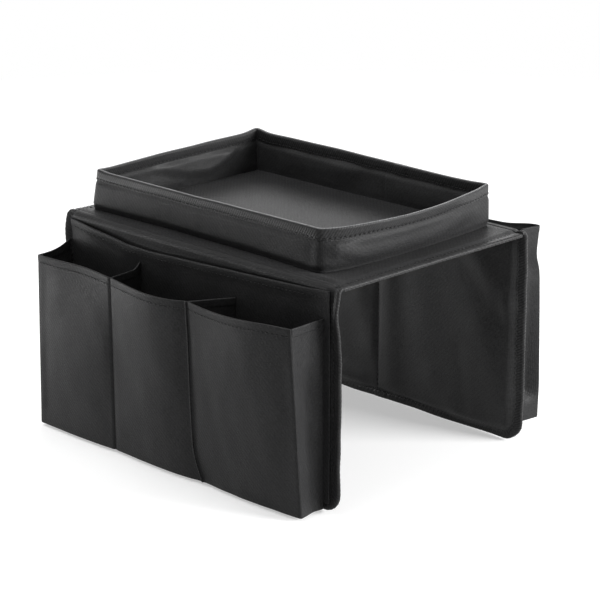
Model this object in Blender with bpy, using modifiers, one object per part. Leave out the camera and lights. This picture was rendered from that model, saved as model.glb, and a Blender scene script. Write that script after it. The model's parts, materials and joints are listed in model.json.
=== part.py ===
"""Remote control holder: a cloth saddle that hangs over the arm of a sofa.

A padded top panel carries a low tray. A flap hangs from each of its long edges: the front flap
has three open pockets and the far flap has two. Every panel is a board between an outer cloth
and a lining, sewn flat at the edge and bound with folded tape.

Metres. +X runs along the armrest, +Y across it towards the far flap, +Z up. The origin is under
the middle of the whole holder, on the plane that the flaps stand on.
"""

import math

import bmesh
import bpy

# Whole holder
holder_length = 0.320
armrest_span = 0.221
drop_height = 0.184

# Cloth, boards and the gaps between pieces that lie on each other
cloth_thickness = 0.0009
board_thickness = 0.0025
tape_thickness = 0.0008
sewn_gap = 0.0003
seam_gap = 0.0006
fold_clearance = 0.0004

# Bound edges of the panels
tape_width = 0.0075
tape_bend_radius = 0.0010
margin_width = 0.0082
margin_slope = 0.0030
flap_corner_radius = 0.0160
board_fold_inset = 0.0020

# Tray, set in from the top panel's edges
tray_left_inset = 0.0160
tray_right_inset = 0.0360
tray_front_inset = 0.0165
tray_back_inset = 0.0115
tray_height = 0.035
tray_corner_radius = 0.0060
tray_soft_corner_radius = 0.0130
stiffener_thickness = 0.0016
stiffener_lift = 0.0012
rim_tape_width = 0.0080
end_wall_foot_bow = 0.0075
end_wall_rim_bow = 0.0170

# Pockets on the front flap: mouths down from the top, floors up from the flap's foot
front_mouth_drop = 0.0315
front_floor_lift = 0.0035
front_mouth_depth = 0.0375
front_floor_depth_left = 0.0375
front_floor_depth_right = 0.0270
front_fullness = 0.0080
front_bulge_shares = (-0.35, 1.0, 0.85)
front_wall_root_shares = (-0.468, -0.206, 0.150, 0.453)
front_wall_mouth_shares = (-0.4875, -0.197, 0.091, 0.4625)
front_wall_foot_shares = (-0.4875, -0.204, 0.130, 0.4625)
front_pocket_names = ("left", "middle", "right")
backing_top_drop = 0.0070
backing_dip = 0.0070
backing_side_inset = 0.0085
backing_foot_height = 0.0086

# Pockets on the far flap
far_mouth_drop = 0.0035
far_floor_lift = 0.0160
far_mouth_depth = 0.0220
far_floor_depth = 0.0280
far_fullness = 0.0030
far_bulge_shares = (1.0, 1.0)
far_wall_root_shares = (-0.464, 0.0, 0.464)
far_wall_mouth_shares = (-0.478, 0.0, 0.478)
far_pocket_names = ("right", "left")

# Hems along the pockets' mouths, and how the pockets' cloth gives
hem_height = 0.0055
hem_thickness = 0.0017
hem_step = 0.0004
bulge_floor_share = 0.2
gusset_tuck = 0.0040

# How finely curves are drawn
corner_steps = 6
soft_corner_steps = 8
bend_steps = 2
fold_steps = 8
bow_steps = 20
wall_rows = 4
straight_strip_steps = 1
pocket_columns = 8
pocket_rows = 4
wall_columns = 6

# Finishes: colour, roughness, metallic
outer_cloth = ((0.030, 0.030, 0.032, 1.0), 0.82, 0.0)
lining_cloth = ((0.024, 0.024, 0.026, 1.0), 0.86, 0.0)
woven_tape = ((0.034, 0.034, 0.036, 1.0), 0.70, 0.0)
plastic_board = ((0.090, 0.090, 0.088, 1.0), 0.55, 0.0)

# Layers of a panel, as heights from its middle plane
margin_inner_half = sewn_gap / 2
margin_half = margin_inner_half + cloth_thickness
tape_middle_half = margin_half + sewn_gap + tape_thickness / 2
field_inner_half = board_thickness / 2 + sewn_gap
field_half = field_inner_half + cloth_thickness
cloth_edge_inset = tape_thickness + sewn_gap
board_edge_inset = margin_width + margin_slope + sewn_gap

# Folds: each axis lies at the inner corner between the top panel and a flap
panel_middle_z = drop_height - field_half
fold_z = drop_height - 2 * field_half - fold_clearance
fold_y = armrest_span / 2 - 2 * field_half - fold_clearance
fold_radius = drop_height - fold_z
panel_edge_y = fold_y - fold_clearance
flap_top = -fold_clearance
flap_foot = -fold_z
flap_middle_out = fold_clearance + field_half
flap_face_out = fold_clearance + 2 * field_half

# Tray ends and sides, from the middle of the top panel
tray_left = tray_left_inset - holder_length / 2
tray_right = holder_length / 2 - tray_right_inset
tray_front = tray_front_inset - armrest_span / 2
tray_back = armrest_span / 2 - tray_back_inset

# The middle of the holder's outline, which the front pockets draw forward
front_reach = front_mouth_depth + front_fullness * max(front_bulge_shares)
far_mouth_reach = far_mouth_depth + far_fullness * max(far_bulge_shares)
far_floor_reach = far_floor_depth + far_fullness * max(far_bulge_shares) * bulge_floor_share
middle_y = (front_reach - max(far_mouth_reach, far_floor_reach)) / 2


def clear_scene():
    for ob in list(bpy.data.objects):
        bpy.data.objects.remove(ob, do_unlink=True)


def new_collection(name):
    collection = bpy.data.collections.new(name)
    bpy.context.scene.collection.children.link(collection)
    return collection


def new_empty(name, location, turn):
    empty = bpy.data.objects.new(name, None)
    empty.location = location
    empty.rotation_euler = (0, 0, turn)
    holder.objects.link(empty)
    return empty


def finish(ob, parent, look):
    """Gives a piece its own material and hangs it on the body that carries it."""
    colour, roughness, metallic = look
    material = bpy.data.materials.new(ob.name)
    material.use_nodes = True
    shader = material.node_tree.nodes["Principled BSDF"]
    shader.inputs["Base Color"].default_value = colour
    shader.inputs["Roughness"].default_value = roughness
    shader.inputs["Metallic"].default_value = metallic
    ob.data.materials.append(material)
    ob.parent = parent
    return ob


def piece_from(bm, name):
    mesh = bpy.data.meshes.new(name)
    bm.to_mesh(mesh)
    bm.free()
    ob = bpy.data.objects.new(name, mesh)
    holder.objects.link(ob)
    return ob


def thicken(ob, thickness, offset, hem_group=None):
    """Gives an open surface its thickness: offset 0 grows it to both sides."""
    solid = ob.modifiers.new("thickness", "SOLIDIFY")
    solid.thickness = thickness
    solid.offset = offset
    solid.use_even_offset = True
    if hem_group is not None:
        solid.vertex_group = hem_group.name
    return ob


def smooth(ob, angle=math.radians(40)):
    ob.data.shade_smooth()
    ob.data.set_sharp_from_angle(angle=angle)
    return ob


def arc(centre_x, centre_y, radius, start, end, steps):
    """Points on an arc, end points included, with angles in degrees."""
    angles = [math.radians(start + (end - start) * i / steps) for i in range(steps + 1)]
    return [(centre_x + radius * math.cos(a), centre_y + radius * math.sin(a)) for a in angles]


def flat_curve(name, points, closed, fill="NONE"):
    data = bpy.data.curves.new(name, "CURVE")
    data.dimensions = "2D"
    data.fill_mode = fill
    spline = data.splines.new("POLY")
    spline.points.add(len(points) - 1)
    for point, place in zip(spline.points, points):
        point.co = (place[0], place[1], 0, 1)
    spline.use_cyclic_u = closed
    ob = bpy.data.objects.new(name, data)
    holder.objects.link(ob)
    return ob


def swept_strip(name, path, section, closed):
    """An open surface: a section drawn along a flat path, to the right of the way it runs."""
    section_ob = flat_curve(name + "_section", section, False)
    path_ob = flat_curve(name + "_path", path, closed)
    path_ob.data.bevel_mode = "OBJECT"
    path_ob.data.bevel_object = section_ob
    bpy.context.view_layer.update()
    evaluated = path_ob.evaluated_get(bpy.context.evaluated_depsgraph_get())
    mesh = bpy.data.meshes.new_from_object(evaluated)
    mesh.name = name
    bpy.data.objects.remove(path_ob, do_unlink=True)
    bpy.data.objects.remove(section_ob, do_unlink=True)
    ob = bpy.data.objects.new(name, mesh)
    holder.objects.link(ob)
    return ob


def folded_tape_section(inward, width):
    """The middle line of a tape folded over an edge; inward is +1 or -1 along the section's x."""
    base = tape_thickness / 2
    bend = base + tape_bend_radius
    level = tape_middle_half - tape_bend_radius
    lower = arc(bend, -level, tape_bend_radius, 270, 180, bend_steps)
    upper = arc(bend, level, tape_bend_radius, 180, 90, bend_steps)
    line = [(width, -tape_middle_half), *lower, *upper, (width, tape_middle_half)]
    return [(inward * x, y) for x, y in line]


def cloth_over_board(name, outline, side, cuts):
    """A cloth sewn flat at its edge that climbs onto a board: side is +1 over it, -1 under it.

    The outline is flat and runs counter-clockwise. Each cut is a value of y, with +1 or -1 for
    the side of it that is dropped, where the cloth carries on round a fold.
    """
    bm = bmesh.new()
    field = bm.faces.new([bm.verts.new((x, y, side * margin_inner_half)) for x, y in outline])
    field.normal_update()
    margin = margin_width - cloth_edge_inset
    climb = field_inner_half - margin_inner_half
    bmesh.ops.inset_individual(bm, faces=[field], thickness=margin, use_even_offset=True)
    bmesh.ops.inset_individual(
        bm, faces=[field], thickness=margin_slope, depth=side * climb, use_even_offset=True
    )
    for level, dropped in cuts:
        geometry = bm.verts[:] + bm.edges[:] + bm.faces[:]
        bmesh.ops.bisect_plane(
            bm, geom=geometry, plane_co=(0, level, 0), plane_no=(0, dropped, 0), clear_outer=True
        )
    return thicken(piece_from(bm, name), cloth_thickness, side)


def flat_board(name, outline, thickness):
    ob = flat_curve(name, outline, True, "BOTH")
    ob.data.extrude = thickness / 2
    return ob


def cloth_sheet(name, across, up, place, thickness, offset=0.0, hem_from=None):
    """A bent sheet of cloth: place(u, v) gives its points over the shares across and up it."""
    columns = len(across) - 1
    rows = len(up) - 1
    bm = bmesh.new()
    bmesh.ops.create_grid(bm, x_segments=columns, y_segments=rows, size=1)
    hemmed = []
    for index, vert in enumerate(bm.verts):
        row, column = divmod(index, len(across))
        hemmed.append(hem_from is not None and up[row] >= hem_from)
        vert.co = place(across[column], up[row])
    ob = piece_from(bm, name)
    group = None
    if hem_from is not None:
        group = ob.vertex_groups.new(name="hem")
        for index, is_hem in enumerate(hemmed):
            group.add([index], 1.0 if is_hem else cloth_thickness / thickness, "REPLACE")
    return thicken(ob, thickness, offset, group)


def between(low, high, share):
    return low + (high - low) * share


def even_shares(count):
    return [i / count for i in range(count + 1)]


def lay_flat_on_flap(ob):
    """Stands a flat piece up in a flap's middle plane, with its +Z to the outside."""
    ob.rotation_euler = (math.radians(90), 0, 0)
    ob.location = (0, -flap_middle_out, 0)
    return ob


def flap_outline(inset, radius):
    """A flap seen from outside, counter-clockwise, reaching past its fold by the sewn edge."""
    half = holder_length / 2 - inset
    low = flap_foot + inset
    past_fold = flap_top + margin_width + margin_slope + board_thickness
    right_corner = arc(half - radius, low + radius, radius, 270, 360, corner_steps)
    left_corner = arc(radius - half, low + radius, radius, 180, 270, corner_steps)
    return [*left_corner, *right_corner, (half, past_fold), (-half, past_fold)]


def board_outline(left, right, low, high, radius):
    """A rectangle whose two lower corners are round."""
    right_corner = arc(right - radius, low + radius, radius, 270, 360, corner_steps)
    left_corner = arc(left + radius, low + radius, radius, 180, 270, corner_steps)
    return [*left_corner, *right_corner, (right, high), (left, high)]


def build_top_panel(body):
    half = holder_length / 2
    cloth_half = half - cloth_edge_inset
    past_fold = panel_edge_y + margin_width + margin_slope
    outline = [
        (-cloth_half, -past_fold),
        (cloth_half, -past_fold),
        (cloth_half, past_fold),
        (-cloth_half, past_fold),
    ]
    cuts = [(-panel_edge_y, -1), (panel_edge_y, 1)]
    for name, side, look in (("top_cover", 1, outer_cloth), ("top_lining", -1, lining_cloth)):
        cloth = cloth_over_board(name, outline, side, cuts)
        cloth.location.z = panel_middle_z
        finish(cloth, body, look)

    board_x = half - board_edge_inset
    board_y = panel_edge_y - board_fold_inset
    corners = [(-board_x, -board_y), (board_x, -board_y), (board_x, board_y), (-board_x, board_y)]
    board = flat_board("top_board", corners, board_thickness)
    board.location.z = panel_middle_z
    finish(board, body, plastic_board)

    section = folded_tape_section(-1, tape_width)
    for name, way in (("top_tape_left", -1), ("top_tape_right", 1)):
        path = [(way * half, -way * panel_edge_y), (way * half, way * panel_edge_y)]
        tape = thicken(swept_strip(name, path, section, False), tape_thickness, 0)
        tape.location.z = panel_middle_z
        finish(smooth(tape), body, woven_tape)


def build_fold_cloth(name, body, fold_side):
    """The outer cloth that bends from the top panel to a flap, with no board in it."""
    half = holder_length / 2 - cloth_edge_inset
    radius = fold_radius - cloth_thickness / 2
    bm = bmesh.new()
    ends = [bm.verts.new((x, 0, radius)) for x in (-half, half)]
    bm.edges.new(ends)
    cloth = piece_from(bm, name)
    bend = cloth.modifiers.new("bend", "SCREW")
    bend.axis = "X"
    bend.angle = math.radians(90) * -fold_side
    bend.steps = fold_steps
    bend.render_steps = fold_steps
    bend.merge_threshold = 0
    thicken(cloth, cloth_thickness, 0)
    cloth.location = (0, fold_side * fold_y, fold_z)
    finish(cloth, body, outer_cloth)


def tray_outline(inset):
    """The tray's outline, counter-clockwise from the front left corner, with one softer corner."""
    left, right = tray_left + inset, tray_right - inset
    front, back = tray_front + inset, tray_back - inset
    small = tray_corner_radius - inset
    soft = tray_soft_corner_radius - inset
    bow_start, bow_end = front + soft, back - small
    end_wall = [(right, between(bow_start, bow_end, i / bow_steps)) for i in range(1, bow_steps)]
    return [
        *arc(left + small, front + small, small, 180, 270, corner_steps),
        *arc(right - soft, front + soft, soft, 270, 360, soft_corner_steps),
        *end_wall,
        *arc(right - small, back - small, small, 0, 90, corner_steps),
        *arc(left + small, back - small, small, 90, 180, corner_steps),
    ]


def bow_end_wall(ob):
    """Bows the right end wall outwards, most at the middle of its rim."""
    low = tray_front + tray_soft_corner_radius
    high = tray_back - tray_corner_radius
    for vert in ob.data.vertices:
        along = (vert.co.y - low) / (high - low)
        if vert.co.x > 0 and 0 < along < 1:
            bow = between(end_wall_foot_bow, end_wall_rim_bow, vert.co.z / tray_height)
            vert.co.x += bow * math.sin(math.pi * along)
    return ob


def build_tray(body):
    wall_half = stiffener_thickness / 2 + sewn_gap + cloth_thickness
    middle = tray_outline(wall_half)
    field = stiffener_thickness / 2 + sewn_gap + cloth_thickness / 2
    margin = margin_inner_half + cloth_thickness / 2
    foot = sewn_gap
    rim = tray_height - tape_thickness - seam_gap
    margin_foot = tray_height - rim_tape_width - sewn_gap
    field_top = margin_foot - margin_slope
    for name, side, look in (
        ("tray_wall_outer", 1, outer_cloth),
        ("tray_wall_lining", -1, lining_cloth),
    ):
        heights = [between(foot, field_top, share) for share in even_shares(wall_rows)]
        section = [(-side * field, height) for height in heights]
        section += [(-side * margin, margin_foot), (-side * margin, rim)]
        wall = bow_end_wall(swept_strip(name, middle, section, True))
        thicken(wall, cloth_thickness, 0).location.z = drop_height
        finish(smooth(wall), body, look)

    upright = [(y, tray_height - x) for x, y in folded_tape_section(1, rim_tape_width)]
    rim_tape = bow_end_wall(swept_strip("tray_rim_tape", middle, upright, True))
    thicken(rim_tape, tape_thickness, 0).location.z = drop_height
    finish(smooth(rim_tape), body, woven_tape)

    low, high = foot + stiffener_lift, field_top - sewn_gap
    small = tray_corner_radius
    soft = tray_soft_corner_radius
    left, right = tray_left + wall_half, tray_right - wall_half
    front, back = tray_front + wall_half, tray_back - wall_half
    runs = {
        "front": ((tray_left + small, front), (tray_right - soft, front), straight_strip_steps),
        "right": ((right, tray_front + soft), (right, tray_back - small), bow_steps),
        "back": ((tray_right - small, back), (tray_left + small, back), straight_strip_steps),
        "left": ((left, tray_back - small), (left, tray_front + small), straight_strip_steps),
    }
    for wall_name, (start, end, steps) in runs.items():

        def strip_point(u, v, start=start, end=end):
            return (between(start[0], end[0], u), between(start[1], end[1], u), between(low, high, v))

        name = f"tray_stiffener_{wall_name}"
        along, up = even_shares(steps), even_shares(wall_rows)
        strip = cloth_sheet(name, along, up, strip_point, stiffener_thickness)
        bow_end_wall(strip).location.z = drop_height
        finish(strip, body, plastic_board)


def build_flap(side_name, body):
    """A flap in its own frame: the fold axis is the origin, and -Y is the outside."""
    for layer, side, look in (("cover", 1, outer_cloth), ("lining", -1, lining_cloth)):
        outline = flap_outline(cloth_edge_inset, flap_corner_radius - cloth_edge_inset)
        cloth = cloth_over_board(f"{side_name}_flap_{layer}", outline, side, [(flap_top, 1)])
        finish(lay_flat_on_flap(cloth), body, look)

    board_x = holder_length / 2 - board_edge_inset
    corners = board_outline(
        -board_x,
        board_x,
        flap_foot + board_edge_inset,
        flap_top - board_fold_inset,
        flap_corner_radius - board_edge_inset,
    )
    board = flat_board(f"{side_name}_flap_board", corners, board_thickness)
    finish(lay_flat_on_flap(board), body, plastic_board)

    half = holder_length / 2
    radius = flap_corner_radius
    path = [
        (-half, flap_top),
        *arc(radius - half, flap_foot + radius, radius, 180, 270, corner_steps),
        *arc(half - radius, flap_foot + radius, radius, 270, 360, corner_steps),
        (half, flap_top),
    ]
    section = folded_tape_section(-1, tape_width)
    tape = swept_strip(f"{side_name}_flap_tape", path, section, False)
    thicken(tape, tape_thickness, 0)
    finish(smooth(lay_flat_on_flap(tape)), body, woven_tape)


class PocketRow:
    """A row of open pockets on a flap, in the flap's frame."""

    def __init__(self, side_name, body, names, root_out, mouth, floor, depths, fullness, bulges, walls):
        self.side_name = side_name
        self.body = body
        self.names = names
        self.root_out = root_out + sewn_gap
        self.mouth_z = fold_radius - mouth
        self.floor_z = flap_foot + floor
        self.mouth_depth, self.floor_depth_left, self.floor_depth_right = depths
        self.fullness = fullness
        self.bulges = bulges
        self.roots, self.mouths, self.feet = ([share * holder_length for share in row] for row in walls)
        height = self.mouth_z - self.floor_z
        self.hem_from = 1 - hem_height / height
        below_hem = self.hem_from - hem_step / height
        self.up = [between(0, below_hem, share) for share in even_shares(pocket_rows)] + [self.hem_from, 1]

    def height(self, v):
        return between(self.floor_z, self.mouth_z, v)

    def wall_front_x(self, wall, v):
        return between(self.feet[wall], self.mouths[wall], v)

    def face_out(self, x, v):
        """How far out the pockets' outer face lies, without its fullness."""
        along = (x - self.feet[0]) / (self.feet[-1] - self.feet[0])
        floor_depth = between(self.floor_depth_left, self.floor_depth_right, along)
        return flap_face_out + between(floor_depth, self.mouth_depth, v)

    def cloth_at(self, v):
        return hem_thickness if v >= self.hem_from else cloth_thickness

    def bulge(self, pocket, u, v):
        fade = between(bulge_floor_share, 1, v * v)
        return self.bulges[pocket] * self.fullness * math.sin(math.pi * u) * fade

    def build_front(self, pocket):
        start_inset = -cloth_thickness / 2 if pocket == 0 else sewn_gap / 2
        end_inset = -cloth_thickness / 2 if pocket == len(self.names) - 1 else sewn_gap / 2

        def point(u, v):
            start = self.wall_front_x(pocket, v) + start_inset
            end = self.wall_front_x(pocket + 1, v) - end_inset
            x = between(start, end, u)
            return (x, -self.face_out(x, v) - self.bulge(pocket, u, v), self.height(v))

        name = f"{self.side_name}_pocket_{self.names[pocket]}_face"
        across = even_shares(pocket_columns)
        face = cloth_sheet(name, across, self.up, point, hem_thickness, -1, self.hem_from)
        finish(smooth(face), self.body, outer_cloth)

    def build_wall(self, wall, name, tuck=0):
        """A wall across the row. A positive tuck draws its middle towards +X, most at the mouth."""

        def point(u, v):
            front_x = self.wall_front_x(wall, v)
            front_out = self.face_out(front_x, v) - self.cloth_at(v) - seam_gap
            x = between(self.roots[wall], front_x, u) + tuck * v * math.sin(math.pi * u)
            return (x, -between(self.root_out, front_out, u), self.height(v))

        sheet = cloth_sheet(name, even_shares(wall_columns), self.up, point, cloth_thickness)
        finish(smooth(sheet), self.body, lining_cloth)

    def build_floor(self, pocket):
        side_inset = cloth_thickness / 2 + seam_gap
        columns = even_shares(pocket_columns)

        def point(u, v):
            start = between(self.roots[pocket], self.feet[pocket], v) + side_inset
            end = between(self.roots[pocket + 1], self.feet[pocket + 1], v) - side_inset
            x = between(start, end, u)
            front_out = self.face_out(x, 0) + self.bulge(pocket, u, 0) - cloth_thickness - seam_gap
            return (x, -between(self.root_out, front_out, v), self.floor_z + cloth_thickness / 2)

        name = f"{self.side_name}_pocket_{self.names[pocket]}_floor"
        floor = cloth_sheet(name, columns, even_shares(1), point, cloth_thickness)
        finish(floor, self.body, lining_cloth)

    def build(self):
        for pocket in range(len(self.names)):
            self.build_front(pocket)
            self.build_floor(pocket)
        last = len(self.names)
        self.build_wall(0, f"{self.side_name}_gusset_{self.names[0]}", gusset_tuck)
        self.build_wall(last, f"{self.side_name}_gusset_{self.names[-1]}", -gusset_tuck)
        for wall in range(1, last):
            self.build_wall(wall, f"{self.side_name}_divider_{wall}")


def build_backing(body):
    """The cloth that the front pockets are sewn on. Its hemmed top edge dips in the middle."""
    low = flap_foot + backing_foot_height
    ends = fold_radius - backing_top_drop
    height = ends - backing_dip - low
    half = holder_length / 2 - backing_side_inset
    hem_from = 1 - hem_height / height
    across = even_shares(pocket_columns)
    up = [0, hem_from - hem_step / height, hem_from, 1]

    def point(u, v):
        x = between(-half, half, u)
        high = ends - backing_dip * math.sin(math.pi * u)
        return (x, -(flap_face_out + sewn_gap), between(low, high, v))

    sheet = cloth_sheet("front_pocket_backing", across, up, point, hem_thickness, 1, hem_from)
    finish(sheet, body, outer_cloth)


clear_scene()
holder = new_collection("remote_control_holder")
top_panel = new_empty("top_panel_body", (0, middle_y, 0), 0)
front_fold = new_empty("front_flap_fold", (0, middle_y - fold_y, fold_z), 0)
far_fold = new_empty("far_flap_fold", (0, middle_y + fold_y, fold_z), math.pi)

build_top_panel(top_panel)
build_tray(top_panel)
build_fold_cloth("front_fold_cloth", top_panel, -1)
build_fold_cloth("far_fold_cloth", top_panel, 1)

build_flap("front", front_fold)
build_backing(front_fold)
front_row = PocketRow(
    "front",
    front_fold,
    front_pocket_names,
    flap_face_out + sewn_gap + cloth_thickness,
    front_mouth_drop,
    front_floor_lift,
    (front_mouth_depth, front_floor_depth_left, front_floor_depth_right),
    front_fullness,
    front_bulge_shares,
    (front_wall_root_shares, front_wall_mouth_shares, front_wall_foot_shares),
)
front_row.build()

build_flap("far", far_fold)
far_row = PocketRow(
    "far",
    far_fold,
    far_pocket_names,
    flap_face_out,
    far_mouth_drop,
    far_floor_lift,
    (far_mouth_depth, far_floor_depth, far_floor_depth),
    far_fullness,
    far_bulge_shares,
    (far_wall_root_shares, far_wall_mouth_shares, far_wall_mouth_shares),
)
far_row.build()
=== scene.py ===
"""Looks of the remote control holder: cloth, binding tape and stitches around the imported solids.

Metres, in the frame of the solids: +X along the armrest, +Y across it, +Z up. A place on a flap is
given by x, by the way s from the start of the fold round it and down the flap, and by the height h
above the flap's middle plane. The two flaps are side -1 (front) and side 1 (far). Tables give
millimetres. Every piece carries its own flat cloth coordinates, from which the weave, the ribs of
the tape and the twist of the thread are drawn.
"""

import json
import math

import bmesh
import bpy
import numpy as np
from mathutils import Matrix, Vector


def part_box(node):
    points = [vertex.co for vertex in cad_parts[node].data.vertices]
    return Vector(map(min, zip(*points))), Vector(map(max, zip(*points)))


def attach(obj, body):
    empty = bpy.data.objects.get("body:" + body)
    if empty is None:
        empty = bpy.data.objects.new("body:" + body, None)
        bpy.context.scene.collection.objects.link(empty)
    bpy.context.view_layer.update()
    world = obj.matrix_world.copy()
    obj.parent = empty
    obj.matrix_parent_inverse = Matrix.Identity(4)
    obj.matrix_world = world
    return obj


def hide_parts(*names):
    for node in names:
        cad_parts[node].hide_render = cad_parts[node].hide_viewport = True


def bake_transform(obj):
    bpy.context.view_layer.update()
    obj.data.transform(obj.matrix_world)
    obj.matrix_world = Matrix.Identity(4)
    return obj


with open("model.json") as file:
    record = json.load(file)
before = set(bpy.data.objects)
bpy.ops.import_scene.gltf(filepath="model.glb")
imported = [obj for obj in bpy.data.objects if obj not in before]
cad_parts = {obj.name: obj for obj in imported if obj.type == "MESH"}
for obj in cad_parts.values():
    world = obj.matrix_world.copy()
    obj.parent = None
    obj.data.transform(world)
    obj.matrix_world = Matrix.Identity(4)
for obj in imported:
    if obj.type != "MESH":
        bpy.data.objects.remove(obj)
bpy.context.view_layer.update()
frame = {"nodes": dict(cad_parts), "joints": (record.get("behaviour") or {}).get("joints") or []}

MM = 0.001
QUARTER = math.pi / 2
words = {-1: "front", 1: "far"}

# Sizes of the holder, as in the solids
half_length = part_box("top_tape_right")[1].x
top_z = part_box("top_cover")[1].z
fold_at = {joint["name"]: joint["pos_m"] for joint in frame["joints"]}
axis_y = {side: fold_at[f"{word}_flap_fold"][1] for side, word in words.items()}
fold_z = fold_at["front_flap_fold"][2]
middle_y = (axis_y[-1] + axis_y[1]) / 2
fold_radius = top_z - fold_z
fold_arc = fold_radius * QUARTER
middle_radius = 2.85 * MM  # at which a panel's middle plane goes round the fold
top_middle_z = top_z - fold_radius + middle_radius
flap_radius = 16 * MM
tray_height = 35 * MM

# Layers: half thicknesses, and heights of the middles above a panel's middle plane
cloth_half = 0.45 * MM
field_height = 2.0 * MM
margin_height = 0.6 * MM
tape_height = 1.4 * MM
tape_half = 0.3 * MM

# Sewing; s_foot is a flap's lower edge
tape_width = 7.6 * MM
rim_tape_width = 9.0 * MM
stitch_inset = 1.1 * MM
stitch_pitch = 4.3 * MM
hem = 5.5 * MM
seam_gap = 0.2 * MM
edge_inset = 1.1 * MM
cloth_reach = half_length - edge_inset
seam_s = -0.5 * MM
s_foot = fold_arc + fold_z - edge_inset
front_end = axis_y[-1] - seam_s
far_end = axis_y[1] + seam_s

# Distances between the points of the meshes
cloth_step = 2.4 * MM
face_step = 2.2 * MM
tape_step = 1.05 * MM


# Numbers
def ease(x):
    x = np.clip(x, 0, 1)
    return x * x * (3 - 2 * x)


def bump(x, width):
    return np.exp(-((x / width) ** 2))


def ramp(x, start, run):
    """Rises from 0 at a start to 1 after a run; both in millimetres."""
    return ease((x - start * MM) / (run * MM))


def ridge(x, height, width, place=0):
    """A rounded ridge: height, half width and place in millimetres."""
    return height * MM * bump(x - place * MM, width * MM)


def mix(low, high, share):
    return low + (high - low) * share


def unit(vectors):
    return vectors / np.linalg.norm(vectors, axis=-1, keepdims=True)


def waves(height, u, v, seed, size):
    """Soft waves over a surface, of about one height and one size in millimetres."""
    rng = np.random.default_rng(seed)
    total = 0
    for _ in range(8):
        way = rng.uniform(0, 2 * math.pi)
        rate = 2 * math.pi / (size * MM * rng.uniform(0.7, 1.6))
        start = rng.uniform(0, 2 * math.pi)
        total = total + np.sin(rate * (u * math.cos(way) + v * math.sin(way)) + start)
    return height * MM * (total / 4)


def slack(height, u, v, seed, size, lowest=-0.2):
    """Waves of slack cloth, which stand out from what they lie on but hardly sink into it."""
    return np.maximum(waves(height, u, v, seed, size), lowest * MM)


def curve(table, softness=0.04):
    """A smooth curve through a table of places from 0 to 1 and values in millimetres."""
    step, reach = 0.005, 60
    at = np.linspace(-0.3, 1.3, 321)
    rough = np.interp(at, *np.array(table, float).T)
    weight = bump(np.arange(-reach, reach + 1) * step, softness)
    soft = np.convolve(np.pad(rough, reach, "edge"), weight / weight.sum(), "valid") * MM
    return lambda x: np.interp(x, at, soft)


def creases(u, v, table):
    """Folds along straight runs: u and v of both ends, half width and height, in millimetres."""
    total = np.zeros(np.broadcast(u, v).shape)
    for u0, v0, u1, v1, width, height in table:
        du, dv = (u1 - u0) * MM, (v1 - v0) * MM
        a, b = u - u0 * MM, v - v0 * MM
        share = np.clip((a * du + b * dv) / (du * du + dv * dv), 0, 1)
        total += ridge(np.hypot(a - share * du, b - share * dv), height, width)
    return total


def spaced(low, high, step, near=()):
    """Values from low to high about a step apart, with a close one at each end and round some."""
    inner = np.linspace(low, high, max(2, round((high - low) / step)) + 1)
    extra = [low + 0.5 * MM, high - 0.5 * MM]
    for place in near:
        extra += [place + gap * MM for gap in (-1.2, -0.5, 0, 0.5, 1.2)]
    values = np.sort(np.concatenate([inner, [x for x in extra if low < x < high]]))
    keep = np.concatenate([[True], np.diff(values) > 0.2 * MM])
    keep[-1] = True
    return values[keep]


def grid(rows, columns):
    """Each point's row value and its column value."""
    return np.meshgrid(rows, columns, indexing="ij")


def path_length(points):
    return np.concatenate([[0], np.cumsum(np.linalg.norm(np.diff(points, axis=0), axis=1))])


def sample(way, values, at):
    """Values given along a path, taken at other places on it."""
    return np.stack([np.interp(at, way, column) for column in values.T], 1)


def directions(line):
    """The ways along a flat line and to its left."""
    way = unit(np.gradient(line, axis=0))
    return way, np.stack([-way[:, 1], way[:, 0]], 1)


# Meshes
def add_object(name, data):
    ob = bpy.data.objects.new(name, data)
    bpy.context.scene.collection.objects.link(ob)
    return ob


def make(name, verts, faces, coords):
    mesh = bpy.data.meshes.new(name)
    mesh.from_pydata(verts.tolist(), [], faces)
    bm = bmesh.new()
    bm.from_mesh(mesh)
    bmesh.ops.recalc_face_normals(bm, faces=bm.faces)
    bm.to_mesh(mesh)
    bm.free()
    weave = mesh.attributes.new("weave", "FLOAT_VECTOR", "POINT")
    weave.data.foreach_set("vector", coords.astype(np.float32).ravel())
    mesh.shade_smooth()
    return add_object(name, mesh)


def surface_normals(points, loop=False):
    wide = np.concatenate([points[:, -2:], points, points[:, :2]], 1) if loop else points
    across = np.gradient(wide, axis=1)
    return unit(np.cross(across[:, 2:-2] if loop else across, np.gradient(points, axis=0)))


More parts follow.
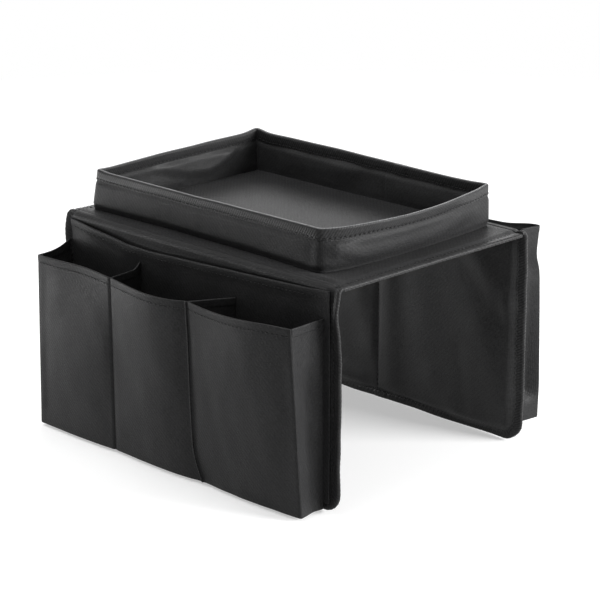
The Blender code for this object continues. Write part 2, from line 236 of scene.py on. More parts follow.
def sheet(name, points, coords, outer=cloth_half, inner=cloth_half, loop=False):
    """A closed sheet of cloth with round edges, from a grid of its middle points.

    A row runs across and the rows go up. coords are the grids of the two flat cloth coordinates,
    outer and inner are the cloth's reach to each side.
    """
    rows, cols = points.shape[:2]
    count = rows * cols
    normals = surface_normals(points, loop)
    outer, inner = (np.broadcast_to(reach, (rows, cols))[..., None] for reach in (outer, inner))
    middles = points.reshape(-1, 3)
    top = (points + normals * outer).reshape(-1, 3)
    low = (points - normals * inner).reshape(-1, 3)
    flat = np.stack(coords, -1).reshape(-1, 2)
    number = np.arange(count).reshape(rows, cols)
    right = np.roll(number, -1, 1) if loop else number[:, 1:]
    left = number if loop else number[:, :-1]
    quads = np.stack([left[:-1], right[:-1], right[1:], left[1:]], -1).reshape(-1, 4)
    verts, weave, faces = [top, low], [flat, flat], [quads, quads[:, ::-1] + count]
    if loop:
        rims = [(number[0], number[1]), (number[-1][::-1], number[-2][::-1])]
    else:
        ring = [number[0, :-1], number[:-1, -1], number[-1, :0:-1], number[:0:-1, 0]]
        edge = np.concatenate(ring)
        row, col = np.clip(edge // cols, 1, rows - 2), np.clip(edge % cols, 1, cols - 2)
        rims = [(edge, number[row, col])]
    for edge, within in rims:
        middle, arm = (top[edge] + low[edge]) / 2, (top[edge] - low[edge]) / 2
        away, side = middles[edge] - middles[within], unit(arm)
        away = unit(away - side * (away * side).sum(1, keepdims=True))
        away = away * np.linalg.norm(arm, axis=1, keepdims=True)
        rings = [edge]
        for turn in (45, 90, 135):
            angle = math.radians(turn)
            rings.append(np.arange(len(edge)) + sum(map(len, verts)))
            verts.append(middle + arm * math.cos(angle) + away * math.sin(angle))
            weave.append(flat[edge])
        rings.append(edge + count)
        for a, b in zip(rings, rings[1:]):
            faces.append(np.stack([a, b, np.roll(b, -1), np.roll(a, -1)], -1))
    flat = np.pad(np.concatenate(weave), ((0, 0), (0, 1)))
    return make(name, np.concatenate(verts), np.concatenate(faces).tolist(), flat)


def thick_line(line, half):
    """The outline round a flat line, with round ends, as a closed loop of points."""
    line = np.array(line)
    way, side = directions(line)
    turns = ((0.7, 0.7), (0, 1), (-0.7, 0.7))
    tips = [line[-1] + half * (side[-1] * c + way[-1] * s) for c, s in turns]
    ends = [line[0] - half * (side[0] * c + way[0] * s) for c, s in turns]
    return np.concatenate([line + side * half, tips, (line - side * half)[::-1], ends])


# The weave's third value for pieces without the painted highlight along a tape's crest
far_from_crest = 10 * MM


def sweep(name, place, section, lengths, loop=False):
    """A closed strip: place(a, b) turns a section point into its points along the whole path.

    In a loop, the weave's third value is the way in from the fold, along whose crest the tape's colour
    is made paler as a painted highlight.
    """
    points = np.stack([place(a, b) for a, b in section], 1)
    steps, around = points.shape[:2]
    number = np.arange(steps * around).reshape(steps, around)
    after = np.roll(number, -1, 0) if loop else number[1:]
    here = number if loop else number[:-1]
    quads = np.stack([here, np.roll(here, -1, 1), np.roll(after, -1, 1), after], -1)
    faces = quads.reshape(-1, 4).tolist()
    if not loop:
        faces += [number[0][::-1].tolist(), number[-1].tolist()]
    flat = np.zeros((steps, around, 3))
    flat[..., 0] = lengths[:, None]
    flat[..., 1] = path_length(section)
    flat[..., 2] = section[:, 0] if loop else far_from_crest
    return make(name, points.reshape(-1, 3), faces, flat.reshape(-1, 3))


# One stitch: rings of points along it, each with its place, radius and rise in millimetres
stitch_sides = 6
stitch_rings = (
    (-1.5, 0.12, -0.35), (-1.0, 0.34, 0.05), (0, 0.40, 0.18), (1.0, 0.34, 0.05), (1.5, 0.12, -0.35)
)
stitch_turns = [2 * math.pi * j / stitch_sides for j in range(stitch_sides)]
stitch_points = np.array([
    (x, radius * math.cos(turn), rise + radius * math.sin(turn), radius * turn)
    for x, radius, rise in stitch_rings for turn in stitch_turns
])
stitch_numbers = np.arange(len(stitch_points)).reshape(-1, stitch_sides)
stitch_faces = [
    (a, b, b + stitch_sides, a + stitch_sides)
    for ring in stitch_numbers[:-1] for a, b in zip(ring, np.roll(ring, -1))
] + [tuple(stitch_numbers[0]), tuple(stitch_numbers[-1])]


def stitches(name, rows, seed, **carrier):
    """Rows of stitches: each row is points along a line and the ways out of the cloth there."""
    rng = np.random.default_rng(seed)
    x, y, z, around = stitch_points.T[..., None]
    half = 0.8 * MM
    verts, coords, faces = [], [], []
    for points, outward in rows:
        way = path_length(points)
        total = max(1, int(way[-1] / stitch_pitch))
        at = (np.arange(total) + 0.5) * way[-1] / total + rng.uniform(-0.12, 0.12, total) * MM
        centre, out = sample(way, points, at), sample(way, outward, at)
        along = unit(sample(way, points, at + half) - sample(way, points, at - half))
        out = unit(out - along * (out * along).sum(1, keepdims=True))
        side = np.cross(along, out)
        skew = rng.uniform(-0.10, 0.10, total)[:, None]
        along, side = along + side * skew, side - along * skew
        for k in range(total):
            first = len(verts) * len(stitch_points)
            faces += [[int(first + i) for i in face] for face in stitch_faces]
            verts.append(centre[k] + (along[k] * x + side[k] * y + out[k] * z) * MM)
            crest = np.full_like(x, far_from_crest)
            coords.append(np.hstack([at[k] + x * MM, around * MM, crest]))
    ob = make(name, np.concatenate(verts), faces, np.concatenate(coords))
    dress(ob, sewing_thread, **carrier)


# Materials
class Nodes:
    """Adds nodes to a tree round its main node; an input is a socket or a value."""

    def __init__(self, owner, main="Principled BSDF"):
        owner.use_nodes = True
        self.tree = owner.node_tree
        self.main = self.tree.nodes[main]

    def put(self, values, node=None):
        for key, value in values.items():
            socket = (node or self.main).inputs[key]
            if isinstance(value, bpy.types.NodeSocket):
                self.tree.links.new(value, socket)
            else:
                socket.default_value = value

    def add(self, kind, values=None, out=0, **settings):
        node = self.tree.nodes.new("ShaderNode" + kind)
        for key, value in settings.items():
            setattr(node, key, value)
        self.put(values or {}, node)
        return node.outputs[out]

    def math(self, kind, a, b=0.0, c=0.0):
        return self.add("Math", {0: a, 1: b, 2: c}, operation=kind)

    def product(self, a, b):
        return self.math("MULTIPLY", a, b)

    def scaled(self, a, b, c):
        """a times b, plus c."""
        return self.math("MULTIPLY_ADD", a, b, c)

    def ridges(self, way):
        """Rounded ridges, one for each step of the way by one."""
        return self.math("ABSOLUTE", self.math("SINE", self.product(way, math.pi)))

    def noise(self, place, scale, detail, roughness=0.5):
        values = {"Vector": place, "Scale": scale, "Detail": detail, "Roughness": roughness}
        return self.add("TexNoise", values)

    def relief(self, height, distance, strength=1.0, **below):
        return self.add("Bump", {"Height": height, "Distance": distance, "Strength": strength, **below})

    def tint(self, colour, *factors):
        """The base colour times factors that vary over the surface."""
        total = factors[0]
        for factor in factors[1:]:
            total = self.product(total, factor)
        tinted = self.add("VectorMath", {0: colour, "Scale": total}, operation="SCALE")
        self.put({"Base Color": tinted})

    def cloth_place(self):
        place = self.add("Attribute", attribute_name="weave", out=1)
        return place, self.add("SeparateXYZ", {0: place}).node.outputs

    def seen(self):
        """1 for what the camera sees, also in a reflection or through a piece, otherwise 0."""
        paths = self.add("LightPath").node.outputs
        seen = self.math("MAXIMUM", paths["Is Camera Ray"], paths["Is Glossy Ray"])
        return self.math("MAXIMUM", seen, paths["Is Transmission Ray"])


def new_material(name, colour, roughness, specular, sheen, sheen_roughness):
    material = bpy.data.materials.new(name)
    nodes = Nodes(material)
    nodes.put({
        "Base Color": (*colour, 1), "Roughness": roughness, "Specular IOR Level": specular,
        "Sheen Weight": sheen, "Sheen Roughness": sheen_roughness, "Sheen Tint": (1, 1, 1, 1),
    })
    return material, nodes


def woven(name, colour, roughness, specular, sheen, pitch, depth, rib):
    """A twill weave: yarns a pitch apart, two over and two under, each row one yarn on."""
    material, n = new_material(name, colour, roughness, specular, sheen, 0.45)
    place, ways = n.cloth_place()
    bent = n.scaled(n.noise(place, 260.0, 1.0), 0.9 * pitch, 4.0)
    u, v = (n.product(n.math("ADD", way, bent), 1 / pitch) for way in (ways[0], ways[1]))
    warp, weft = n.ridges(u), n.ridges(v)
    row = n.math("ADD", n.math("FLOOR", u), n.math("FLOOR", v))
    over = n.math("LESS_THAN", n.math("MODULO", row, 4.0), 2.0)
    high = n.scaled(weft, 0.25, n.product(warp, 0.75))
    low = n.scaled(warp, 0.20, n.product(weft, 0.60))
    yarn = n.add("Mix", {"Factor": over, "A": low, "B": high})
    slubs = []
    for stretch in ((950.0, 210.0, 1.0), (210.0, 950.0, 1.0)):
        drawn = n.add("VectorMath", {0: place, 1: stretch}, operation="MULTIPLY")
        slubs.append(n.noise(drawn, 1.0, 3.0, 0.6))
    fleck = n.product(n.math("ADD", *slubs), 0.5)
    fleck = n.add("MapRange", {0: fleck, 1: 0.36, 2: 0.64, 3: 0.0, 4: 1.0})
    patch = n.noise(place, 22.0, 3.0)
    # Painted light in the weave: the colour is darker in the gaps between yarns (painted shade) and
    # paler where a yarn floats over two (painted sheen)
    shade = n.scaled(yarn, rib, 1 - 0.5 * rib)
    n.tint(colour, shade, n.scaled(fleck, 0.6, 0.7), n.scaled(patch, 0.5, 0.75))
    soft = n.relief(patch, 0.8 * MM, 0.5)
    n.put({
        "Roughness": n.scaled(yarn, -0.16, n.scaled(fleck, 0.2, roughness)),
        "Normal": n.relief(n.scaled(fleck, 0.5, yarn), depth, Normal=soft),
    })
    return material


def ribbed(name, colour, roughness, specular, sheen, pitch, depth):
    """A woven tape with ribs across it, or a thread with its twist."""
    material, n = new_material(name, colour, roughness, specular, sheen, 0.4)
    place, ways = n.cloth_place()
    along = n.scaled(ways[1], 0.6, ways[0])
    rib = n.ridges(n.product(along, 1 / pitch))
    fleck, patch = n.noise(place, 520.0, 2.0), n.noise(place, 40.0, 2.0)
    # Painted highlight: the colour turns up to 6.5 times paler near the crest of the tape over the rim,
    # standing in for the light caught there
    painted_crest_highlight = n.product(ways[2], 1 / (0.45 * MM))
    painted_crest_highlight = n.math("EXPONENT", n.product(n.product(painted_crest_highlight, painted_crest_highlight), -1.0))
    fleck_shade, patch_shade = n.scaled(fleck, 1.4, 0.3), n.scaled(patch, 0.4, 0.8)
    # The colour: painted shade in the grooves between ribs or twists, the tape's or thread's own flecks
    # and patches of tone, and the painted crest highlight
    n.tint(colour, n.scaled(rib, 0.6, 0.64), fleck_shade, patch_shade, n.scaled(painted_crest_highlight, 5.5, 1.0))
    n.put({
        "Roughness": n.scaled(rib, -0.15, roughness + 0.07),
        "Normal": n.relief(n.scaled(fleck, 0.3, rib), depth),
    })
    return material


def plastic(name, colour):
    material, n = new_material(name, colour, 0.5, 0.4, 0.0, 0.3)
    place = n.add("TexCoord", out=3)
    grain, patch = n.noise(place, 900.0, 4.0), n.noise(place, 30.0, 3.0)
    n.tint(colour, n.scaled(patch, 0.4, 0.8))
    n.put({"Roughness": n.scaled(grain, 0.3, 0.38), "Normal": n.relief(grain, 0.05 * MM, 0.6)})
    return material


outer_cloth = woven(
    "outer_woven_cloth", (0.0180, 0.0180, 0.0184), roughness=0.40, specular=0.08, sheen=0.02,
    pitch=1.0 * MM, depth=0.14 * MM, rib=0.9)
lining_cloth = woven(
    "lining_woven_cloth", (0.0210, 0.0210, 0.0214), roughness=0.40, specular=0.14, sheen=0.02,
    pitch=0.9 * MM, depth=0.09 * MM, rib=0.6)
binding = ribbed(
    "binding_tape", (0.0185, 0.0185, 0.0189), roughness=0.36, specular=0.11, sheen=0.02,
    pitch=2.4 * MM, depth=0.16 * MM)
sewing_thread = ribbed(
    "sewing_thread", (0.0110, 0.0110, 0.0113), roughness=0.46, specular=0.14, sheen=0.03,
    pitch=0.40 * MM, depth=0.05 * MM)
board_plastic = plastic("board_plastic", (0.09, 0.09, 0.088))


def dress(ob, material, nodes=(), body=None, across=None):
    """Gives a piece its material, hides the solids that it stands for, and parents it to the body that
    carries it or else bakes its place; across, the fold, is not used.
    """
    ob.data.materials.append(material)
    if nodes:
        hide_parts(*nodes)
    if body:
        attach(ob, body)
    else:
        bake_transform(ob)


def cloth(name, points, coords, size, held, support, material, nodes, body=None, across=None, **shape):
    """A sheet of cloth with its looks and its carrier. Its flat size is only read, and what it lies on
    is not used.
    """
    ob = sheet(name, points, coords, **shape)
    dress(ob, material, nodes, body, across)
    tuple(map(float, size))


# Places on the panels
def panel(side, x, s, h):
    """A place beside a fold: s before 0 is on the top, after the fold's arc it is on the flap."""
    x, s, h = np.broadcast_arrays(x, s, h)
    s = s + sag(side, x, s)
    turn = np.clip(s / fold_arc, 0, 1) * QUARTER
    reach = middle_radius + h
    y = axis_y[side] + side * (np.minimum(s, 0) + reach * np.sin(turn))
    z = fold_z + reach * np.cos(turn) - np.maximum(s - fold_arc, 0)
    return np.stack([x, y, z], -1)


def flap_height(s):
    return fold_z + fold_arc - s


def inset(x, s):
    """How far a place on a flap or the top lies in from the bound edge."""
    beyond_x = np.abs(x) - (half_length - flap_radius)
    beyond_z = flap_radius - flap_height(s)
    outside = np.hypot(np.maximum(beyond_x, 0), np.maximum(beyond_z, 0))
    return flap_radius - outside - np.minimum(np.maximum(beyond_x, beyond_z), 0)


def rise(distance):
    """Height of the cloth over a panel's middle plane, by the distance in from its edge."""
    return mix(margin_height, field_height, ramp(distance, 7.9, 2.8))


# How far each flap's left and right sewn edge stands out of its plane, down from the fold
curl_tables = {
    (-1, -1): (
        (0, 0.3), (0.03, 2.0), (0.08, 4.4), (0.14, 4.6), (0.22, 4.4), (0.35, 1.6), (0.5, 0), (1, -0.6)),
    (-1, 1): (
        (0, 0.2), (0.06, 1.2), (0.13, 4.6), (0.17, 3.6), (0.22, 0.8), (0.4, -0.6), (0.8, 0.6), (1, 0)),
    (1, -1): ((0, 0.3), (0.3, 0.9), (0.7, -0.6), (1, 0)),
    (1, 1): ((0, 2.2), (0.06, 2.8), (0.2, 3.6), (0.5, 4.2), (0.8, 4.6), (1, 3.6)),
}
edge_curls = {place: curve(table, 0.03) for place, table in curl_tables.items()}
curl_reach = 11.6 * MM


def curl(side, x, s):
    """How far a place beside a flap's sewn edges stands out of its plane."""
    near = ease((curl_reach - (half_length - np.abs(x))) / curl_reach)
    near_foot = ease((curl_reach - flap_height(s)) / curl_reach)
    share = s / (fold_arc + fold_z)
    total = np.where(x < 0, edge_curls[side, -1](share), edge_curls[side, 1](share))
    along = s + np.where(x < 0, -0.4, 0.4)
    waver = waves(0.3, along, 0, 25 + side, 30) * ramp(s, 10, 20)
    foot_waver = waves(0.7, x, 0, 27 + side, 60)
    return near * (total + waver) + np.minimum(near_foot, 1 - near) * foot_waver


def sag(side, x, s):
    """How far a flap's lower part is drawn up unevenly."""
    drawn = slack(0.5, x, 0, 35 + side, 95) + 0.2 * MM
    return -drawn * ramp(s, 70, 100)


def flap_sheet(name, side, facing, relief, held, material, nodes, near_x=()):
    """A flap's cloth with its fold: facing is 1 for the outside and -1 for the lining.

    The last rows of its grid follow the flap's round corners.
    """
    xs = spaced(-cloth_reach, cloth_reach, cloth_step, near_x)
    straight = s_foot - 24 * MM
    rows = spaced(seam_s, straight, cloth_step)
    tail = np.linspace(0, 1, 12)[1:, None]
    beyond = np.maximum(np.abs(xs) - (half_length - flap_radius), 0)
    radius = flap_radius - edge_inset
    cut = radius - np.sqrt(np.maximum(radius**2 - beyond**2, 0))
    s = np.repeat(rows[:, None], len(xs), 1)
    s = np.concatenate([s, straight + tail * (s_foot - cut - straight)])
    x = np.broadcast_to(xs, s.shape)
    height = rise(inset(x, s)) + relief(x, s)
    points = panel(side, x, s, facing * height + curl(side, x, s))
    size, board = (2 * cloth_reach, s_foot - seam_s), f"{words[side]}_flap_board"
    cloth(name, points, (x, s), size, held, board, material, nodes, across=side)


# Binding tape over an edge: a is the way in from the edge, b the height from the middle plane
def tape_section(width):
    """The outline of a tape's section, with a groove where each leg is sewn."""
    upper = []
    for a in np.linspace(width / MM, 1.4, 8):
        groove = 0.38 * math.exp(-(((width / MM - a - stitch_inset / MM) / 0.9) ** 2))
        upper.append((a, tape_height / MM - groove))
    for t in np.linspace(0.5, math.pi - 0.5, 5)[:2]:
        upper.append(((0.9 - 0.9 * math.sin(t)) * 0.9 + 0.40, 0.9 * math.cos(t) * 1.35))
    lower = [(a, -b) for a, b in reversed(upper)]
    return thick_line([(a * MM, b * MM) for a, b in upper + [(0.37, 0)] + lower], tape_half)


def pucker(lengths, a, b, width, seed):
    """How a tape's leg gives at each stitch, and wavers a little."""
    at_row = ridge(width - a - stitch_inset, 0.16, 1.6)
    beat = np.cos(2 * math.pi * lengths / stitch_pitch)
    sign = 1 if b > 0 else -1
    wavering = waves(0.10, lengths, sign * 0.05, seed, 26) * (a / width)
    return sign * (at_row * beat + wavering)


def wander(height, lengths, a, seed, size):
    """How far a tape's inner edge strays along the cloth."""
    return waves(height, lengths, 0.1, seed, size) * (a > 5 * MM)


def lap(past_start):
    """The step where a tape's end lies over the first 14 mm of its beginning."""
    return 0.5 * MM * ramp(past_start, 0, 0.8) * (1 - ramp(past_start, 13.2, 0.8))


def leg(lengths, a, b, rib_depth, seed, wander_seed):
    """A panel tape's place at a and b, with its slanting ribs, its stitches and its wandering."""
    wave = rib_depth * np.cos(2 * math.pi * (lengths + 0.9 * a) / stitch_pitch)
    flat = ramp(abs(b), 0, 1)
    inwards = a + wander(0.25, lengths, a, wander_seed, 30) - wave * (1 - flat)
    return inwards, b + wave * flat * np.sign(b) + pucker(lengths, a, b, tape_width, seed)


def tape(name, place, width, lengths, node, body=None, across=None, loop=False):
    """A binding tape; returns the stitch lines on both its legs and the ways out of it."""
    ob = sweep(name, place, tape_section(width), lengths, loop)
    dress(ob, binding, [node], body, across)
    rows = []
    for facing in (1, -1):
        line = place(width - stitch_inset, facing * (tape_height + 0.2 * MM))
        above = place(width - stitch_inset, facing * (tape_height + 2 * MM))
        rows.append((line, above - line))
    return rows


def flap_tape(side, path):
    """A flap's tape along a path of x and s, with the flap to the path's left; its stitch rows."""
    path = np.array(path)
    way = path_length(path)
    path = sample(way, path, np.linspace(0, way[-1], round(way[-1] / tape_step) + 1))
    inward = directions(path)[1]
    lengths = path_length(path)

    def place(a, b):
        inwards, h = leg(lengths, a, b, 0.10 * MM, 51 + side, 58 + side)
        at = path + inward * inwards[:, None]
        h = h + np.sign(b) * lap(lengths - 0.485 * lengths[-1]) + curl(side, at[:, 0], at[:, 1])
        return panel(side, at[:, 0], at[:, 1], h)

    name, node = f"{words[side]}_binding", f"{words[side]}_flap_tape"
    return tape(name, place, tape_width, lengths, node, across=side)


# Tray: its rim and foot as seen from above, from the front left corner round, in millimetres
tray_sides = (
    (((-139, -92.5), (-60, -92.8), (30, -91.5), (121, -90.5)),
     ((-145.5, -93.5), (-60, -90), (38, -90.5), (124, -94.5))),
    (((121, -90.5), (129, -76), (135, -55), (138.5, -35), (140.8, 1), (138, 35), (133, 62),
      (125, 100)),
     ((124, -94.5), (130, -73), (132, -50), (132.5, -32), (132, -3), (131, 35), (129, 69),
      (125.5, 101))),
    (((125, 100), (60, 100.5), (-40, 101), (-148, 101)),
     ((125.5, 101), (60, 99.5), (-40, 99), (-146.5, 99.5))),
    (((-148, 101), (-146, 40), (-142.5, -30), (-139, -92.5)),
     ((-146.5, 99.5), (-146.5, 30), (-146, -30), (-145.5, -93.5))),
)
tray_side_names = ("front", "right", "back", "left")
tray_counts = (176, 138, 182, 132)
tray_starts = np.cumsum((0, *tray_counts))
plain_softness = 13.0
corner_softness = ((1.8, 2.4, 1.5, 1.6), (2.2, 5.0, 1.8, 1.8))


def smooth_closed(points, widths):
    """A closed line averaged over a width that varies along it, in points."""
    result, total = np.zeros_like(points), np.zeros(len(points))
    for k in range(-40, 41):
        weight = bump(k, widths)
        result += np.roll(points, -k, 0) * weight[:, None]
        total += weight
    return result / total[:, None]


def tray_line(level):
    """The rim's line (level 0) or the foot's (level 1), with its corners rounded."""
    parts = []
    for side, count in zip(tray_sides, tray_counts):
        line = np.array(side[level], float) * MM
        way = path_length(line)
        parts.append(sample(way, line, np.linspace(0, way[-1], count, endpoint=False)))
    count = tray_starts[-1]
    widths = np.full(count, plain_softness)
    for start, width in zip(tray_starts, corner_softness[level]):
        gap = np.abs((np.arange(count) - start + count / 2) % count - count / 2)
        widths = np.minimum(widths, mix(width, plain_softness, ease((gap - 3) / 26)))
    return smooth_closed(np.concatenate(parts), widths) + (0, middle_y)


tray_rim, tray_foot = tray_line(0), tray_line(1)
tray_way = path_length(np.concatenate([tray_rim, tray_rim[:1]]))
tray_total, tray_way = tray_way[-1], tray_way[:-1]
side_starts = tray_way[tray_starts[:-1]] / MM


def corner_gap(corner):
    gap = tray_way - tray_way[tray_starts[corner]]
    return np.abs((gap + tray_total / 2) % tray_total - tray_total / 2)


rim_rise = (
    ridge(corner_gap(3), 2.2, 11) + ridge(corner_gap(0), 0.9, 9) + ridge(corner_gap(2), 1.0, 12)
    + 1.5 * MM * ramp(tray_rim[:, 1] - tray_rim[:, 0], 40, 120)
    + waves(0.25, tray_way, 0, 5, 60)
)


def tray_place(level, offset):
    """Places all round the tray, by height above the top and way out from the wall's middle."""
    share = np.broadcast_to(level / tray_height, tray_way.shape)
    plan = mix(tray_foot, tray_rim, share[:, None])
    out = -directions(np.concatenate([plan[-3:], plan, plan[:3]]))[1][3:-3]
    z = top_z + level + rim_rise * share
    return np.concatenate([plan + out * np.reshape(offset, (-1, 1)), z[:, None]], 1)


def wall_offset(level, facing):
    """The wall cloth's distance from the wall's middle: thin under the tape, tucked at the foot."""
    field, margin, tuck = 1.55 * MM, 0.6 * MM, 1.6 * MM if facing > 0 else 0.3 * MM
    return mix(field, margin, ramp(level, 21.6, 3.5)) - tuck * (1 - ramp(level, 1.5, 4.0))


def tray_wall(name, facing, relief, material, node):
    levels = spaced(0.5 * MM, tray_height - 1.0 * MM, 1.6 * MM)
    v, u = grid(levels, tray_way)
    offset = facing * (wall_offset(v, facing) + relief(u, v))
    points = np.stack([tray_place(level, row) for level, row in zip(levels, offset)])
    cloth(
        name, points, (u, v), (tray_total, levels[-1] - levels[0]), "stretched", "tray_stiffeners",
        material, [node], "top_panel", loop=True)


def outer_relief(u, v):
    right = side_starts[1]
    above = v - 18 * MM + 8 * MM * (ramp(u, right + 6, 34) - ramp(u, right + 100, 80))
    run = ramp(u, right + 2, 12) * (1 - ramp(u, right + 135, 50))
    swell = run * (ridge(above, 2.3, 5.5) + 2.3 * 0.35 * MM * ramp(above, 0, 6))
    table = [(right - 9, 5, right - 7, 24, 5, -0.8), (right + 4, 4, right + 12, 9, 6, 1.0)]
    soft = waves(0.3, u, 0.5 * v, 11, 60) + waves(0.10, u, v, 14, 18)
    fade = ramp(v, 3, 5) * (1 - ramp(v, 22, 4))
    return (swell + creases(u, v, table) + np.maximum(soft, -0.2 * MM)) * fade


# The lower edge of the slack that hangs over the left wall's inside: along the side, up the wall
left_drape = (
    (10, 31), (22, 27), (38, 16.6), (50, 11), (63, 8.5), (87, 10.8), (110, 16.8), (136, 24), (150, 28)
)


def lining_relief(u, v):
    front, right, back, left = side_starts
    above = v - np.interp(u / MM - left, *np.transpose(left_drape)) * MM
    hang = 2.6 * MM * ramp(above, -5, 9) * np.exp(-np.maximum(above - 3 * MM, 0) / (10 * MM))
    hang = hang * ramp(u, left + 12, 25) * (1 - ramp(u, left + 90, 60))
    table = [
        (left + 95, 6, left + 150, 10, 6, 0.9),
        (back + 150, 20, back + 235, 12, 8, 1.0),
        (back + 20, 10, back + 90, 14, 9, 0.7),
        (front + 60, 12, front + 180, 10, 8, 0.8),
        (right + 40, 12, right + 130, 14, 8, 0.9),
    ]
    form = hang + creases(u, v, table) + slack(0.5, u, v, 12, 45, -0.25)
    return (form - ridge(u, 0.5, 0.9, back + 112)) * ramp(v, 0, 5) * (1 - ramp(v, 22, 5))


tray_wall("tray_outer_cloth", 1, outer_relief, outer_cloth, "tray_wall_outer")
tray_wall("tray_inner_cloth", -1, lining_relief, lining_cloth, "tray_wall_lining")


def rim_place(a, b):
    """A place on the tape over the rim: a down from the rim, b out from the wall's middle."""
    over = np.sign(b) * lap(tray_way - (side_starts[2] + 88) * MM)
    level = tray_height - a - wander(0.3, tray_way, a, 23, 35)
    return tray_place(level, b + pucker(tray_way, a, b, rim_tape_width, 21) + over)


rim_rows = tape(
    "tray_rim_binding", rim_place, rim_tape_width, tray_way, "tray_rim_tape", "top_panel", loop=True)
stitches("tray_rim_stitches", rim_rows, 2, body="top_panel")

for corner, name in enumerate(tray_side_names):
    levels = np.linspace(6.0 * MM, 22.5 * MM, 6)
    part = slice(tray_starts[corner] + 8, tray_starts[corner + 1] - 8)
    points = np.stack([tray_place(level, 0)[part] for level in levels])
    v, u = grid(levels, tray_way[part])
    ob = sheet(f"tray_strip_{name}", points, (u, v), 0.8 * MM, 0.8 * MM)
    dress(ob, board_plastic, [f"tray_stiffener_{name}"], "top_panel")


# Top panel: the outer cloth is the tray's floor as well
def fold_groove(distance):
    """The sewn line beside a fold, where the top's board ends."""
    return -ridge(distance, 0.28, 1.4)


def top_sheet(name, facing, relief, material, node):
    xs, ys = spaced(-cloth_reach, cloth_reach, cloth_step), spaced(front_end, far_end, cloth_step)
    y, x = grid(ys, xs)
    from_fold = np.minimum(y - front_end, far_end - y)
    height = rise(half_length - np.abs(x)) + relief(x, y, from_fold)
    points = np.stack([x, y, top_middle_z + facing * height], -1)
    size = (2 * cloth_reach, far_end - front_end)
    cloth(name, points, (x, y), size, "stretched", "top_board", material, [node], "top_panel")


def top_relief(x, y, from_fold):
    strip = ridge(from_fold, 0.9, 4.5, 4.5)
    return fold_groove(from_fold) + strip + waves(0.16, x, y, 31, 90) * ramp(from_fold, 0, 6)


def under_relief(x, y, from_fold):
    return slack(0.35, x, y, 33, 70) * ramp(from_fold, 0, 8)


top_sheet("top_outer_cloth", 1, top_relief, outer_cloth, "top_cover")
top_sheet("top_under_cloth", -1, under_relief, lining_cloth, "top_lining")


# Flaps
def front_outer_relief(x, s):
    roll = (ridge(s, 1.5, 4.5, 5.5) - ridge(s, 0.25, 5, 17)) * ramp(inset(x, s), 0, 10)
    return fold_groove(s - seam_s) + roll + slack(0.4, x, s, 41, 60) * ramp(s, 25, 10)


def far_outer_relief(x, s):
    roll = ridge(s, 2.0, 4.5, 4.0) * ramp(inset(x, s), 0, 10)
    return fold_groove(s - seam_s) + roll + slack(0.35, x, s, 45, 60) * ramp(s - fold_arc, 0, 10)


def lining_fade(x, s):
    """Where a flap's lining is free to move: away from the fold and the bound edge."""
    return ramp(s - fold_arc, 0, 12) * ramp(inset(x, s), 0, 16)


def front_lining_relief(x, s):
    return slack(0.8, x, s, 43, 75) * lining_fade(x, s)


far_lining_creases = (
    (-62, 10, -62, 185, 42, 4.0),
    (112, 10, 112, 185, 38, 4.0),
    (10, 20, 16, 165, 12, 2.4),
    (48, 60, 62, 172, 20, 1.6),
    (-30, 30, -8, 140, 13, 2.2),
    (-62, 60, -30, 100, 18, 1.8),
    (-60, 165, -20, 172, 9, 1.6),
    (96, 30, 122, 62, 12, -1.0),
    (104, 24, 142, 66, 12, 2.2),
    (120, 92, 140, 150, 16, 1.8),
    (96, 120, 104, 165, 8, -0.9),
    (66, 150, 90, 172, 10, 1.2),
    (136, 60, 140, 84, 6, -0.8),
)


def far_lining_relief(x, s):
    """Its creases are held down along the seam of the partition behind it, at x = 0."""
    form = 0.85 * (creases(x, s, far_lining_creases) + slack(0.7, x, s, 47, 65))
    sewn = 1 - 0.95 * bump(x, 3.0 * MM)
    return (form * sewn - ridge(x, 0.3, 1.2)) * lining_fade(x, s)


for side, outer_shape, lining_shape, seams in (
    (-1, front_outer_relief, front_lining_relief, ()),
    (1, far_outer_relief, far_lining_relief, (0.0,)),
):
    word = words[side]
    covers, linings = [f"{word}_flap_cover", f"{word}_fold_cloth"], [f"{word}_flap_lining"]
    flap_sheet(f"{word}_outer_cloth", side, 1, outer_shape, "folded", outer_cloth, covers)
    flap_sheet(f"{word}_under_cloth", side, -1, lining_shape, "stretched", lining_cloth, linings, seams)


# Binding tape round each flap, in one run up the right side, along the foot and down the left
def flap_path():
    r, low = flap_radius, fold_arc + fold_z
    turns = [k / 12 * QUARTER for k in range(1, 12)]
    left = [(-half_length, seam_s), (-half_length, low - r)]
    left += [(-half_length + r - r * math.cos(t), low - r + r * math.sin(t)) for t in turns]
    left.append((-half_length + r, low))
    return [(-x, s) for x, s in left] + left[::-1]


seam_rows = {side: flap_tape(side, flap_path()) for side in words}

top_rows = []
for way, word in ((-1, "left"), (1, "right")):
    ys = np.linspace(front_end, far_end, round((far_end - front_end) / tape_step) + 1)

    def place(a, b, way=way, ys=ys):
        inwards, h = leg(ys - front_end, a, b, 0.22 * MM, 61 + way, 60 + way)
        return np.stack([way * (half_length - inwards), ys, top_middle_z + h], -1)

    name, node = f"top_binding_{word}", f"top_tape_{word}"
    top_rows += tape(name, place, tape_width, ys - front_end, node, "top_panel")
stitches("top_binding_stitches", top_rows, 3, body="top_panel")

